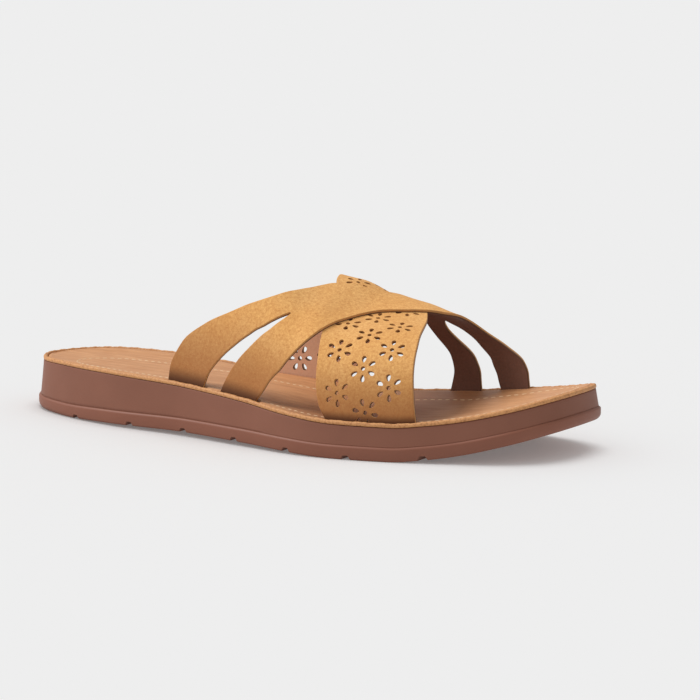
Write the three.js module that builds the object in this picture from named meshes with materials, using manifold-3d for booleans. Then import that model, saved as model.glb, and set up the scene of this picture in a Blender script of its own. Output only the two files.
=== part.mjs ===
import * as THREE from "three";
import { mergeVertices } from "three/addons/utils/BufferGeometryUtils.js";
import Module from "manifold-3d";

const manifold = await Module();
manifold.setup();

// Mule sandal for a right foot: a flat sole in two layers, an insole with a bound edge, and an upper
// of two straps that cross over the instep. Millimetres, +Z up, +Y from heel to toe, +X to the
// outer side of the foot.

// Sole
const soleLength = 255; // heel tip to toe tip, along the top of the side wall
const ballWidth = 85;
const heelWidth = 61;
const heelHeight = 21; // floor to the top of the side wall, at the heel
const toeSpring = 13; // how high the toe tip's underside stands off the floor
const archRise = 1.6; // how high the waist's underside stands off the floor
const outsoleThickness = 5.6;
const outsoleStep = 0.9; // how far the outsole stands out past the midsole
const wallFlare = 1.3; // how much wider the side wall is at its foot than at its top
const edgeRounding = 3; // largest rounding of the outsole's lower edge, at heel and toe
const grooveWidth = 4.2;
const grooveRoof = 2.4; // width of a groove where it is deepest
const grooveDepth = 1.8;

// Footbed
const bindingWidth = 1.6; // the strip that is wrapped round the edge of the footbed
const bindingHeight = 1.4;
const traySink = 1.8; // how far the footbed is sunk into the midsole
const insoleThickness = 3;
const clearance = 0.3;

// Straps
const strapThickness = 1.6;
const instepHeight = 54.5; // lining of the straps above the footbed's edge, at the highest section
const plainStrapWidth = 25;
const perforatedStrapWidth = 39;
const strapRise = 1; // height above the side wall's top where the straps start to arch
const crownShift = -5; // how far the crown leans to the inner side
const archFullness = 3; // 2 is an ellipse, and more is squarer
const crossingRamp = 14; // length over which the plain strap climbs onto the other one
const seamBite = 0.3; // how deep the upper strap is pressed into the lower one where they cross

// Plan outline of the side wall's top. at: share of soleLength. outer, inner: distance from the
// long axis to each side, in shares of the local width.
const outline = [
  { at: 0, outer: -0.079, inner: 0.079 },
  { at: 0.03, outer: 0.184, inner: 0.325 },
  { at: 0.1, outer: 0.369, inner: 0.451 },
  { at: 0.22, outer: 0.528, inner: 0.462 },
  { at: 0.36, outer: 0.55, inner: 0.389 },
  { at: 0.5, outer: 0.554, inner: 0.343 },
  { at: 0.62, outer: 0.591, inner: 0.391 },
  { at: 0.74, outer: 0.545, inner: 0.453 },
  { at: 0.85, outer: 0.425, inner: 0.475 },
  { at: 0.94, outer: 0.292, inner: 0.411 },
  { at: 0.985, outer: 0.132, inner: 0.312 },
  { at: 1, outer: -0.118, inner: 0.118 },
];

// Side profile. spring, arch: what lifts the underside off the floor, in shares of toeSpring and
// archRise. wall, inner: height of the side wall and what the inner side adds, cup: hollow of the
// footbed, in shares of heelHeight. round: rounding of the lower edge, in shares of edgeRounding.
const profile = [
  { at: 0, spring: 0, arch: 0, wall: 0.974, inner: 0, cup: 0, round: 1 },
  { at: 0.1, spring: 0, arch: 0, wall: 1.024, inner: -0.005, cup: 0.07, round: 0.6 },
  { at: 0.2, spring: 0, arch: 0.5, wall: 0.986, inner: -0.015, cup: 0.08, round: 0.35 },
  { at: 0.28, spring: 0, arch: 0.8, wall: 0.938, inner: -0.04, cup: 0.06, round: 0.3 },
  { at: 0.37, spring: 0, arch: 1, wall: 0.874, inner: -0.065, cup: 0.03, round: 0.3 },
  { at: 0.48, spring: 0, arch: 0.9, wall: 0.793, inner: -0.06, cup: 0.02, round: 0.3 },
  { at: 0.58, spring: 0, arch: 0.5, wall: 0.69, inner: -0.04, cup: 0.02, round: 0.3 },
  { at: 0.67, spring: 0, arch: 0, wall: 0.648, inner: 0.04, cup: 0.04, round: 0.3 },
  { at: 0.76, spring: 0, arch: 0, wall: 0.643, inner: 0.12, cup: 0.04, round: 0.3 },
  { at: 0.814, spring: 0.1, arch: 0, wall: 0.64, inner: 0.14, cup: 0.04, round: 0.35 },
  { at: 0.86, spring: 0.245, arch: 0, wall: 0.633, inner: 0.12, cup: 0.03, round: 0.45 },
  { at: 0.93, spring: 0.585, arch: 0, wall: 0.618, inner: 0.06, cup: 0.02, round: 0.75 },
  { at: 1, spring: 1, arch: 0, wall: 0.61, inner: 0, cup: 0, round: 1 },
];

// Grooves across the tread, in shares of soleLength
const grooves = [0.134, 0.258, 0.369, 0.479, 0.588, 0.695, 0.814];

// Height of the straps' arch above the footbed's edge on the outer and the inner half, in shares of
// instepHeight. Over the ball the inner half is higher.
const arch = [
  { at: 0.3, outer: 1, inner: 0.72 },
  { at: 0.45, outer: 0.98, inner: 0.82 },
  { at: 0.52, outer: 0.86, inner: 0.925 },
  { at: 0.58, outer: 0.73, inner: 0.92 },
  { at: 0.64, outer: 0.645, inner: 0.81 },
  { at: 0.7, outer: 0.628, inner: 0.715 },
  { at: 0.78, outer: 0.591, inner: 0.604 },
  { at: 0.86, outer: 0.55, inner: 0.52 },
];

// Straps from the outer side of the sole (around 0), over the instep, to the inner side (around 1).
// middle: centre line, in shares of soleLength. width: in shares of the strap's own width.
const plainStrap = [
  { around: 0, middle: 0.4204, width: 1.899 },
  { around: 0.05, middle: 0.4327, width: 2.043 },
  { around: 0.1, middle: 0.4528, width: 2.04 },
  { around: 0.15, middle: 0.4844, width: 1.762 },
  { around: 0.2, middle: 0.5242, width: 1.31 },
  { around: 0.25, middle: 0.5513, width: 1.096 },
  { around: 0.3, middle: 0.5683, width: 0.984 },
  { around: 0.36, middle: 0.5815, width: 0.938 },
  { around: 0.42, middle: 0.5922, width: 0.964 },
  { around: 0.48, middle: 0.6078, width: 1.066 },
  { around: 0.53, middle: 0.636, width: 1.306 },
  { around: 0.58, middle: 0.669, width: 1.285 },
  { around: 0.64, middle: 0.692, width: 1.081 },
  { around: 0.7, middle: 0.7035, width: 0.989 },
  { around: 0.76, middle: 0.7175, width: 1.091 },
  { around: 0.82, middle: 0.7435, width: 1.214 },
  { around: 0.88, middle: 0.7705, width: 1.275 },
  { around: 0.94, middle: 0.7788, width: 1.321 },
  { around: 1, middle: 0.779, width: 1.408 },
];
const perforatedStrap = [
  { around: 0, middle: 0.7245, width: 0.935 },
  { around: 0.05, middle: 0.7152, width: 1.01 },
  { around: 0.12, middle: 0.708, width: 1.033 },
  { around: 0.2, middle: 0.7007, width: 1.023 },
  { around: 0.28, middle: 0.6907, width: 1.03 },
  { around: 0.35, middle: 0.68, width: 1.02 },
  { around: 0.42, middle: 0.6695, width: 1.013 },
  { around: 0.5, middle: 0.6555, width: 1.013 },
  { around: 0.56, middle: 0.64, width: 1.033 },
  { around: 0.62, middle: 0.627, width: 0.994 },
  { around: 0.7, middle: 0.6105, width: 0.922 },
  { around: 0.8, middle: 0.5475, width: 1.013 },
  { around: 0.9, middle: 0.4815, width: 1.131 },
  { around: 1, middle: 0.449, width: 1.098 },
];

// The two slots that split the plain strap's ends into legs. rear, front: the slot's edges, in
// shares of the way across the strap.
const outerSlot = [
  { around: 0, rear: 0.397, front: 0.592 },
  { around: 0.03, rear: 0.403, front: 0.601 },
  { around: 0.06, rear: 0.43, front: 0.615 },
  { around: 0.09, rear: 0.465, front: 0.625 },
  { around: 0.12, rear: 0.498, front: 0.629 },
  { around: 0.15, rear: 0.504, front: 0.614 },
  { around: 0.18, rear: 0.466, front: 0.569 },
  { around: 0.22, rear: 0.423, front: 0.502 },
  { around: 0.25, rear: 0.407, front: 0.459 },
  { around: 0.272, rear: 0.41, front: 0.43 },
];
const innerSlot = [
  { around: 0.75, rear: 0.423, front: 0.442 },
  { around: 0.775, rear: 0.324, front: 0.597 },
  { around: 0.8, rear: 0.282, front: 0.624 },
  { around: 0.85, rear: 0.322, front: 0.584 },
  { around: 0.9, rear: 0.336, front: 0.553 },
  { around: 0.95, rear: 0.357, front: 0.586 },
  { around: 1, rear: 0.388, front: 0.634 },
];

// Resolution
const stationsPerRow = 4;
const footbedColumns = 6;
const strapSteps = 44;
const strapColumns = 6;

const { clamp, lerp, smoothstep } = THREE.MathUtils;

// Value of a table's column at key, along a cubic that never overshoots its rows.
function lookup(table, column, key, keyName = "at") {
  const last = table.length - 1;
  const slope = (i) =>
    (table[i + 1][column] - table[i][column]) / (table[i + 1][keyName] - table[i][keyName]);
  const tangent = (i) => {
    if (i === 0) return slope(0);
    if (i === last) return slope(last - 1);
    const before = slope(i - 1);
    const after = slope(i);
    return before * after <= 0 ? 0 : (2 * before * after) / (before + after);
  };
  const position = clamp(key, table[0][keyName], table[last][keyName]);
  let i = 0;
  while (i < last - 1 && position > table[i + 1][keyName]) i += 1;
  const span = table[i + 1][keyName] - table[i][keyName];
  const s = (position - table[i][keyName]) / span;
  const start = table[i][column];
  const end = table[i + 1][column];
  return (
    start * (1 + 2 * s) * (1 - s) ** 2 +
    tangent(i) * span * s * (1 - s) ** 2 +
    end * s * s * (3 - 2 * s) -
    tangent(i + 1) * span * s * s * (1 - s)
  );
}

// Outline and heights of the sole
const localWidth = (at) => lerp(heelWidth, ballWidth, smoothstep(at, 0.25, 0.6));
const underside = (at) =>
  toeSpring * lookup(profile, "spring", at) + archRise * lookup(profile, "arch", at);
const wallHeight = (at) => heelHeight * lookup(profile, "wall", at);
const wallTop = (at, innerShare) =>
  underside(at) + wallHeight(at) + innerShare * heelHeight * lookup(profile, "inner", at);
const cupDepth = (at) => heelHeight * lookup(profile, "cup", at);
const lowerRounding = (at) => edgeRounding * lookup(profile, "round", at);

const outerRows = outline.map(
  ({ at, outer }) => new THREE.Vector3(outer * localWidth(at), at * soleLength, 0),
);
const innerRows = outline
  .slice(1, -1)
  .reverse()
  .map(({ at, inner }) => new THREE.Vector3(-inner * localWidth(at), at * soleLength, 0));
const edgeCurve = new THREE.CatmullRomCurve3([...outerRows, ...innerRows], true, "centripetal");
const ringCount = (outerRows.length + innerRows.length) * stationsPerRow;
const half = ringCount / 2; // index of the toe tip, where index 0 is the heel tip
const edge = edgeCurve.getPoints(ringCount).slice(0, ringCount);
const edgeNormals = edge.map((point, i) => {
  const along = edge[(i + 1) % ringCount].clone().sub(edge[(i + ringCount - 1) % ringCount]);
  return new THREE.Vector3(along.y, -along.x, 0).normalize();
});

const shareOf = (y) => clamp(y / soleLength, 0, 1);
const isInner = (i) => (i > half ? 1 : 0);

// x of the side wall's top at a share of the length, on the outer (0) or the inner (1) side.
function edgeX(at, innerShare) {
  const y = at * soleLength;
  const side = innerShare ? [edge[0], ...edge.slice(half).reverse()] : edge.slice(0, half + 1);
  let i = 0;
  while (i < side.length - 2 && side[i + 1].y < y) i += 1;
  return lerp(side[i].x, side[i + 1].x, (y - side[i].y) / (side[i + 1].y - side[i].y));
}

function bodyOf(vertices, triangles) {
  return new manifold.Manifold(
    new manifold.Mesh({
      numProp: 3,
      vertProperties: new Float32Array(vertices.flat()),
      triVerts: new Uint32Array(triangles.flat()),
    }),
  );
}

function meshOf(name, body, material) {
  const { vertProperties, triVerts } = body.getMesh();
  const geometry = new THREE.BufferGeometry();
  geometry.setAttribute("position", new THREE.BufferAttribute(new Float32Array(vertProperties), 3));
  geometry.setIndex(new THREE.BufferAttribute(new Uint32Array(triVerts), 1));
  geometry.computeVertexNormals();
  const mesh = new THREE.Mesh(geometry, new THREE.MeshStandardMaterial(material));
  mesh.name = name;
  return mesh;
}

// A closed three.js geometry as a solid.
function bodyFrom(geometry) {
  geometry.deleteAttribute("normal");
  geometry.deleteAttribute("uv");
  const merged = mergeVertices(geometry, 1e-4);
  return new manifold.Manifold(
    new manifold.Mesh({
      numProp: 3,
      vertProperties: merged.attributes.position.array,
      triVerts: new Uint32Array(merged.index.array),
    }),
  );
}

// One ring of points round the sole, moved out by offset(i) and set at height(i).
function ringAt(offset, height) {
  return edge.map((point, i) => {
    const moved = point.clone().addScaledVector(edgeNormals[i], offset(i));
    return [moved.x, moved.y, height(i)];
  });
}

// Triangles of the walls between rings, each ring joined to the next.
function wallTriangles(ringTotal, closed) {
  const triangles = [];
  const bands = closed ? ringTotal : ringTotal - 1;
  for (let r = 0; r < bands; r += 1)
    for (let i = 0; i < ringCount; i += 1) {
      const next = (i + 1) % ringCount;
      const low = r * ringCount;
      const high = ((r + 1) % ringTotal) * ringCount;
      triangles.push([low + i, low + next, high + next]);
      triangles.push([low + i, high + next, high + i]);
    }
  return triangles;
}

// A slab between rings, lowest first. The top is hollowed by sag(at) and the bottom stays level
// from side to side.
function slab(rings, topSag, bottomSag) {
  const vertices = rings.flat();
  const triangles = wallTriangles(rings.length, false);
  const cap = (ringIndex, sag, upward) => {
    const ring = rings[ringIndex];
    const first = ringIndex * ringCount;
    const rows = [];
    for (let k = 1; k < half; k += 1) {
      const outer = ring[k];
      const inner = ring[ringCount - k];
      const row = [first + k];
      for (let c = 1; c < footbedColumns; c += 1) {
        const share = c / footbedColumns;
        const y = lerp(outer[1], inner[1], share);
        const hollow = sag(shareOf(y)) * (1 - (2 * share - 1) ** 4);
        const z = lerp(outer[2], inner[2], share) - hollow;
        row.push(vertices.length);
        vertices.push([lerp(outer[0], inner[0], share), y, z]);
      }
      row.push(first + ringCount - k);
      rows.push(row);
    }
    const add = (a, b, c) => triangles.push(upward ? [a, b, c] : [a, c, b]);
    for (let c = 0; c < footbedColumns; c += 1) {
      add(first, rows[0][c], rows[0][c + 1]);
      add(first + half, rows[half - 2][c + 1], rows[half - 2][c]);
      for (let k = 0; k < half - 2; k += 1) {
        add(rows[k][c], rows[k + 1][c], rows[k + 1][c + 1]);
        add(rows[k][c], rows[k + 1][c + 1], rows[k][c + 1]);
      }
    }
  };
  cap(0, bottomSag, false);
  cap(rings.length - 1, topSag, true);
  return bodyOf(vertices, triangles);
}

const level = () => 0;
const atOf = (i) => shareOf(edge[i].y);
const topOf = (i) => wallTop(atOf(i), isInner(i));
const underOf = (i) => underside(atOf(i));

// Outsole: the tread layer, with a rounded lower edge and grooves across it.
const outsoleOut = wallFlare + outsoleStep;
const outsoleTop = (i) => underOf(i) + outsoleThickness;
const lower = (i) => lowerRounding(atOf(i));
const treadBody = slab(
  [
    ringAt((i) => outsoleOut - lower(i), underOf),
    ringAt((i) => outsoleOut - 0.62 * lower(i), (i) => underOf(i) + 0.08 * lower(i)),
    ringAt((i) => outsoleOut - 0.29 * lower(i), (i) => underOf(i) + 0.29 * lower(i)),
    ringAt((i) => outsoleOut - 0.08 * lower(i), (i) => underOf(i) + 0.62 * lower(i)),
    ringAt(() => outsoleOut, (i) => underOf(i) + lower(i)),
    ringAt(() => outsoleOut, (i) => outsoleTop(i) - outsoleStep / 2),
    ringAt(() => outsoleOut - outsoleStep / 2, outsoleTop),
  ],
  level,
  level,
);

// A groove's section stands in the YZ plane and runs across the sole.
const acrossSole = new THREE.Matrix4().makeBasis(
  new THREE.Vector3(0, 1, 0),
  new THREE.Vector3(0, 0, 1),
  new THREE.Vector3(1, 0, 0),
);

function grooveBody(at) {
  const section = new THREE.Shape([
    new THREE.Vector2(-grooveWidth / 2, -outsoleThickness),
    new THREE.Vector2(grooveWidth / 2, -outsoleThickness),
    new THREE.Vector2(grooveWidth / 2, 0),
    new THREE.Vector2(grooveRoof / 2, grooveDepth),
    new THREE.Vector2(-grooveRoof / 2, grooveDepth),
    new THREE.Vector2(-grooveWidth / 2, 0),
  ]);
  const geometry = new THREE.ExtrudeGeometry(section, { depth: 2 * ballWidth, bevelEnabled: false });
  geometry.applyMatrix4(acrossSole);
  geometry.translate(-ballWidth, at * soleLength, underside(at));
  return bodyFrom(geometry);
}

const outsoleBody = grooves.reduce((body, at) => body.subtract(grooveBody(at)), treadBody);

// Midsole: the side wall, with a shallow tray in its top for the footbed.
const midsoleFoot = (i) => outsoleTop(i) + clearance;
const trayFloor = (i) => topOf(i) - traySink;
const midsoleBody = slab(
  [
    ringAt(() => wallFlare, midsoleFoot),
    ringAt(() => wallFlare * 0.45, (i) => lerp(midsoleFoot(i), topOf(i), 0.5)),
    ringAt(() => 0, (i) => topOf(i)),
    ringAt(() => -bindingWidth, (i) => topOf(i)),
    ringAt(() => -bindingWidth, trayFloor),
  ],
  cupDepth,
  level,
);

// Edge binding: a narrow strip round the footbed, with a rounded outer edge.
const bindingFoot = (i) => topOf(i) + clearance;
const bindingAt = (share) => (i) => bindingFoot(i) + bindingHeight * share;
const bindingRings = [
  ringAt(() => -0.2, bindingFoot),
  ringAt(() => 0.15, bindingAt(0.35)),
  ringAt(() => 0, bindingAt(0.8)),
  ringAt(() => -0.35, bindingAt(1)),
  ringAt(() => -bindingWidth + 0.3, bindingAt(1)),
  ringAt(() => -bindingWidth, bindingAt(0.75)),
  ringAt(() => -bindingWidth, bindingFoot),
];
const bindingBody = bodyOf(bindingRings.flat(), wallTriangles(bindingRings.length, true));

// Insole: fills the tray inside the binding, hollowed for the foot, its edge rounded.
const insoleInset = bindingWidth + clearance;
const strapInset = bindingWidth + 1.5 * clearance; // outer face of the straps' ends
const insoleFoot = (i) => trayFloor(i) + clearance;
const insoleTop = (i) => insoleFoot(i) + insoleThickness;
const insoleBlank = slab(
  [
    ringAt(() => -insoleInset, insoleFoot),
    ringAt(() => -insoleInset, (i) => insoleTop(i) - 0.8),
    ringAt(() => -insoleInset - 0.35, (i) => insoleTop(i) - 0.2),
    ringAt(() => -insoleInset - 1.2, insoleTop),
  ],
  cupDepth,
  cupDepth,
);

// Point on the straps' arch. around runs from the outer side of the sole (0) to the inner side (1),
// lift is the height above the lining, and drop lowers a point of the tucked ends.
function archPoint(at, around, lift, drop = 0) {
  const inset = strapInset + strapThickness;
  const outerX = edgeX(at, 0) - inset;
  const innerX = edgeX(at, 1) + inset;
  const angle = Math.PI * around;
  const c = Math.cos(angle);
  const s = Math.max(0, Math.sin(angle));
  const reach = (Math.abs(c) ** archFullness + s ** archFullness) ** (-1 / archFullness);
  const bulge = c * reach;
  const rise = s * reach;
  const base = lerp(wallTop(at, 0), wallTop(at, 1), (1 - c) / 2) + strapRise;
  const innerHalf = smoothstep(around, 0.35, 0.75);
  const crown =
    instepHeight * lerp(lookup(arch, "outer", at), lookup(arch, "inner", at), innerHalf);
  return [
    (outerX + innerX) / 2 + (bulge * (outerX - innerX)) / 2 + crownShift * rise + lift * c,
    at * soleLength,
    base + crown * rise + lift * s - drop,
  ];
}

function strapEdges(table, strapWidth) {
  return (around) => {
    const middle = lookup(table, "middle", around, "around");
    const halfWidth = (lookup(table, "width", around, "around") * strapWidth) / soleLength / 2;
    return { rear: middle - halfWidth, front: middle + halfWidth };
  };
}

const plainEdges = strapEdges(plainStrap, plainStrapWidth);
const perforatedEdges = strapEdges(perforatedStrap, perforatedStrapWidth);

function slotEdges(table) {
  return (around) => {
    const { rear, front } = plainEdges(around);
    return {
      rear: lerp(rear, front, lookup(table, "rear", around, "around")),
      front: lerp(rear, front, lookup(table, "front", around, "around")),
    };
  };
}

// How far the plain strap is lifted where it lies over the perforated one.
function crossingLift(at, around) {
  const { rear, front } = perforatedEdges(around);
  const away = Math.max(rear - at, at - front, 0) * soleLength;
  return (strapThickness - seamBite) * (1 - smoothstep(away, 0, crossingRamp));
}

// A curved band that follows edges(around) between two lifts, through a list of rows.
function band(rows, edges, insideLift, outsideLift, columns) {
  const vertices = [];
  for (const { around, drop } of rows)
    for (let c = 0; c <= columns; c += 1) {
      const { rear, front } = edges(around);
      const at = lerp(rear, front, c / columns);
      vertices.push(archPoint(at, around, insideLift(at, around), drop));
      vertices.push(archPoint(at, around, outsideLift(at, around), drop));
    }
  const index = (r, c, outside) => 2 * (r * (columns + 1) + c) + outside;
  const triangles = [];
  const quad = (a, b, c, d) => triangles.push([a, b, c], [a, c, d]);
  const last = rows.length - 1;
  for (let r = 0; r < last; r += 1) {
    for (let c = 0; c < columns; c += 1) {
      quad(index(r, c, 1), index(r, c + 1, 1), index(r + 1, c + 1, 1), index(r + 1, c, 1));
      quad(index(r, c, 0), index(r + 1, c, 0), index(r + 1, c + 1, 0), index(r, c + 1, 0));
    }
    quad(index(r, 0, 0), index(r, 0, 1), index(r + 1, 0, 1), index(r + 1, 0, 0));
    quad(
      index(r, columns, 0),
      index(r + 1, columns, 0),
      index(r + 1, columns, 1),
      index(r, columns, 1),
    );
  }
  for (let c = 0; c < columns; c += 1) {
    quad(index(0, c, 0), index(0, c + 1, 0), index(0, c + 1, 1), index(0, c, 1));
    quad(index(last, c, 0), index(last, c, 1), index(last, c + 1, 1), index(last, c + 1, 0));
  }
  return bodyOf(vertices, triangles);
}

function rowsBetween(from, to, steps, dropFrom, dropTo) {
  const rows = [];
  if (dropFrom) rows.push({ around: from, drop: dropFrom });
  for (let i = 0; i <= steps; i += 1) rows.push({ around: lerp(from, to, i / steps), drop: 0 });
  if (dropTo) rows.push({ around: to, drop: dropTo });
  return rows;
}

// Upper: both straps, tucked between insole and binding, and joined where they cross.
const tuckDepth = strapRise + traySink - clearance;
const strapRows = rowsBetween(0, 1, strapSteps, tuckDepth, tuckDepth);
const plainBody = band(
  strapRows,
  plainEdges,
  crossingLift,
  (at, around) => crossingLift(at, around) + strapThickness,
  strapColumns,
);
const perforatedBody = band(
  strapRows,
  perforatedEdges,
  () => 0,
  () => strapThickness,
  strapColumns,
);

function slotBody(table) {
  const from = table[0].around;
  const to = table[table.length - 1].around;
  const past = 2 * tuckDepth;
  const rows = rowsBetween(from, to, 14, from === 0 ? past : 0, to === 1 ? past : 0);
  const reach = 2 * strapThickness;
  return band(rows, slotEdges(table), () => -reach, () => strapThickness + reach, 2);
}

const upperBody = plainBody
  .subtract(slotBody(outerSlot))
  .subtract(slotBody(innerSlot))
  .add(perforatedBody);

// Pocket in the insole's edge where one leg of a strap goes down.
function pocketBody(rear, front, innerShare) {
  const side = innerShare ? -1 : 1;
  const margin = (2 * clearance) / soleLength;
  const vertices = [];
  const steps = 6;
  for (let i = 0; i <= steps; i += 1) {
    const at = lerp(rear - margin, front + margin, i / steps);
    const x = edgeX(at, innerShare);
    const deep = x - side * (strapInset + strapThickness + clearance);
    const z = wallTop(at, innerShare);
    const reach = 2 * insoleThickness;
    vertices.push([deep, at * soleLength, z - reach], [x, at * soleLength, z - reach]);
    vertices.push([x, at * soleLength, z + reach], [deep, at * soleLength, z + reach]);
  }
  const triangles = [];
  const quad = (a, b, c, d) => {
    const turned = innerShare ? [a, b, c, d] : [d, c, b, a];
    triangles.push([turned[0], turned[1], turned[2]], [turned[0], turned[2], turned[3]]);
  };
  for (let i = 0; i < steps; i += 1)
    for (let k = 0; k < 4; k += 1) {
      const next = (k + 1) % 4;
      quad(4 * i + k, 4 * i + next, 4 * i + 4 + next, 4 * i + 4 + k);
    }
  quad(3, 2, 1, 0);
  quad(4 * steps, 4 * steps + 1, 4 * steps + 2, 4 * steps + 3);
  return bodyOf(vertices, triangles);
}

const legs = [0, 1].flatMap((side) => {
  const plain = plainEdges(side);
  const slot = slotEdges(side ? innerSlot : outerSlot)(side);
  const perforated = perforatedEdges(side);
  return [
    { side, rear: plain.rear, front: slot.rear },
    { side, rear: slot.front, front: plain.front },
    { side, rear: perforated.rear, front: perforated.front },
  ];
});
const insoleBody = legs.reduce(
  (body, { side, rear, front }) => body.subtract(pocketBody(rear, front, side)),
  insoleBlank,
);

const pieces = new THREE.Group();
pieces.add(
  meshOf("outsole", outsoleBody, { color: 0x8c5a49, roughness: 0.55, metalness: 0 }),
  meshOf("midsole", midsoleBody, { color: 0x87584a, roughness: 0.62, metalness: 0 }),
  meshOf("edge_binding", bindingBody, { color: 0xc98d55, roughness: 0.7, metalness: 0 }),
  meshOf("insole", insoleBody, { color: 0xb98457, roughness: 0.68, metalness: 0 }),
  meshOf("upper", upperBody, { color: 0xb9793f, roughness: 0.78, metalness: 0 }),
);

// The origin is the middle of the ground under the sandal.
const bounds = new THREE.Box3().setFromObject(pieces);
const middle = bounds.getCenter(new THREE.Vector3());
pieces.position.set(-middle.x, -middle.y, -bounds.min.z);

const sandal = new THREE.Group();
sandal.add(pieces);

export default sandal;
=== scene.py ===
from math import cos, pi, radians, sin

import bmesh
import bpy
import numpy as np
from mathutils import Matrix, Vector
from mathutils.bvhtree import BVHTree
from mathutils.geometry import delaunay_2d_cdt
from mathutils.kdtree import KDTree


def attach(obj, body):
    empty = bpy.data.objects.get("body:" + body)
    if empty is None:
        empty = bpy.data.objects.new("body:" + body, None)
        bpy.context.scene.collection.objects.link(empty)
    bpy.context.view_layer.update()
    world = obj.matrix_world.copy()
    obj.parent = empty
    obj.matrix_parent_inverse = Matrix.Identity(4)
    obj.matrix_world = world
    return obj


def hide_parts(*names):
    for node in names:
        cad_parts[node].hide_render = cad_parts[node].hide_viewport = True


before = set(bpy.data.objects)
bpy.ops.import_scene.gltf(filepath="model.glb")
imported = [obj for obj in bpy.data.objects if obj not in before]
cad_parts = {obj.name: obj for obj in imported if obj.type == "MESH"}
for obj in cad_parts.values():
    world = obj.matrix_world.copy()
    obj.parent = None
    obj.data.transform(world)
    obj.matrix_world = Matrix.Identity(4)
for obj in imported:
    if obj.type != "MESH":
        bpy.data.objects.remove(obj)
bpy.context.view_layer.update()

scene = bpy.context.scene
scene.view_settings.view_transform = "Standard"

# A mule sandal for a right foot. Lengths below are in millimetres, +Y runs from heel to toe, +X to
# the outer side of the foot, and every mesh is scaled to metres when it is made.


def linearFromHex(code):  # sRGB hex to linear RGBA
    def one(c):
        return c / 12.92 if c <= 0.04045 else ((c + 0.055) / 1.055) ** 2.4
    return tuple(one(int(code[i:i + 2], 16) / 255) for i in (1, 3, 5)) + (1.0,)


# Camera at the photograph's angle
cameraView = {
    "place": (1.292974, 0.728768, 0.265678),
    "right": (-0.49075, 0.87127, 0.007348),
    "up": (-0.143098, -0.088914, 0.985706),
    "back": (0.859469, 0.482683, 0.168312),
    "lens": 185.413,
    "shift": (0.072674, 0.07486),
}
cameraData = bpy.data.cameras.new("camera")
cameraData.sensor_width = 36
cameraData.lens = cameraView["lens"]
cameraData.shift_x, cameraData.shift_y = cameraView["shift"]
cameraData.clip_end = 60
camera = bpy.data.objects.new("camera", cameraData)
scene.collection.objects.link(camera)
axes = Matrix((cameraView["right"], cameraView["up"], cameraView["back"])).transposed().to_4x4()
camera.matrix_world = Matrix.Translation(cameraView["place"]) @ axes
scene.camera = camera

# Studio: an even white surround, a soft light from above and the heel, and a pale floor that is lit
# from straight above
studio = {
    "world": 0.52,
    "suns": {  # strength, angle across in degrees, turn in degrees, and whether it lights the floor
        "sandal_light": (2.4, 30, (36, 16, 0), False),
        "floor_light": (1.05, 44, (0, -5, 0), True),
    },
    "floor": "#ececec",
    "floorGlow": 0.14,
    "floorReach": 14,  # metres, so that its edge is out of sight
}
world = bpy.data.worlds.new("studio")
scene.world = world
world.use_nodes = True
world.node_tree.nodes["Background"].inputs["Color"].default_value = (1, 1, 1, 1)
world.node_tree.nodes["Background"].inputs["Strength"].default_value = studio["world"]

floorMesh = bpy.data.meshes.new("floor")
far = studio["floorReach"]
floorMesh.from_pydata([(-far, -far, 0), (far, -far, 0), (far, far, 0), (-far, far, 0)], [], [(0, 1, 2, 3)])
floor = bpy.data.objects.new("floor", floorMesh)
scene.collection.objects.link(floor)
for name, (strength, angle, turn, onFloor) in studio["suns"].items():
    sunData = bpy.data.lights.new(name, "SUN")
    sunData.energy = strength
    sunData.angle = radians(angle)
    sun = bpy.data.objects.new(name, sunData)
    sun.rotation_euler = [radians(a) for a in turn]
    scene.collection.objects.link(sun)
    lit = bpy.data.collections.new(name)  # one light leaves out the floor, the other lights it alone
    lit.objects.link(floor)
    lit.collection_objects[0].light_linking.link_state = "INCLUDE" if onFloor else "EXCLUDE"
    sun.light_linking.receiver_collection = lit


# Materials
def addNode(tree, kind, settings=None, links=None):  # one node with its settings and links
    node = tree.nodes.new(kind)
    for key, value in (settings or {}).items():
        if isinstance(key, int) or key in node.inputs:
            node.inputs[key].default_value = value
        else:
            setattr(node, key, value)
    for key, source in (links or {}).items():
        tree.links.new(source, node.inputs[key])
    return node


def newMaterial(name):
    material = bpy.data.materials.new(name)
    material.use_nodes = True
    tree = material.node_tree
    tree.nodes.clear()
    place = addNode(tree, "ShaderNodeTexCoord").outputs["Object"]
    return material, tree, place


def closeMaterial(tree, surface):
    addNode(tree, "ShaderNodeOutputMaterial", links={"Surface": surface})


def perMetre(millimetres):  # scale of a pattern whose cells are about this wide
    return 1000 / millimetres


floorPaint, tree, place = newMaterial("matt_studio_floor")  # plain and pale, takes soft shadows
surface = addNode(tree, "ShaderNodeBsdfPrincipled", {
    "Base Color": linearFromHex(studio["floor"]), "Roughness": 0.9, "Specular IOR Level": 0.0,
    "Emission Color": (1, 1, 1, 1), "Emission Strength": studio["floorGlow"]})
closeMaterial(tree, surface.outputs["BSDF"])
floorMesh.materials.append(floorPaint)


# Sole, footbed and straps, as the tables of the part give them
sole = {
    "length": 255.0,
    "ballWidth": 85.0,
    "heelWidth": 61.0,
    "widening": (0.25, 0.6),  # shares of the length between which the heel's width turns into the ball's
    "heelHeight": 21.0,
    "toeSpring": 13.0,
    "archRise": 1.6,
    "outsoleThickness": 5.6,
    "outsoleStep": 0.9,
    "wallFlare": 1.3,
    "edgeRounding": 3.0,
    "middle": (4.8406, 127.49992, 0.0),  # of the ground under the sandal, the frame's origin
    "stationsPerRow": 24,  # points round the outline between two of its rows
    "columns": 16,  # across the footbed
}
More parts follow.
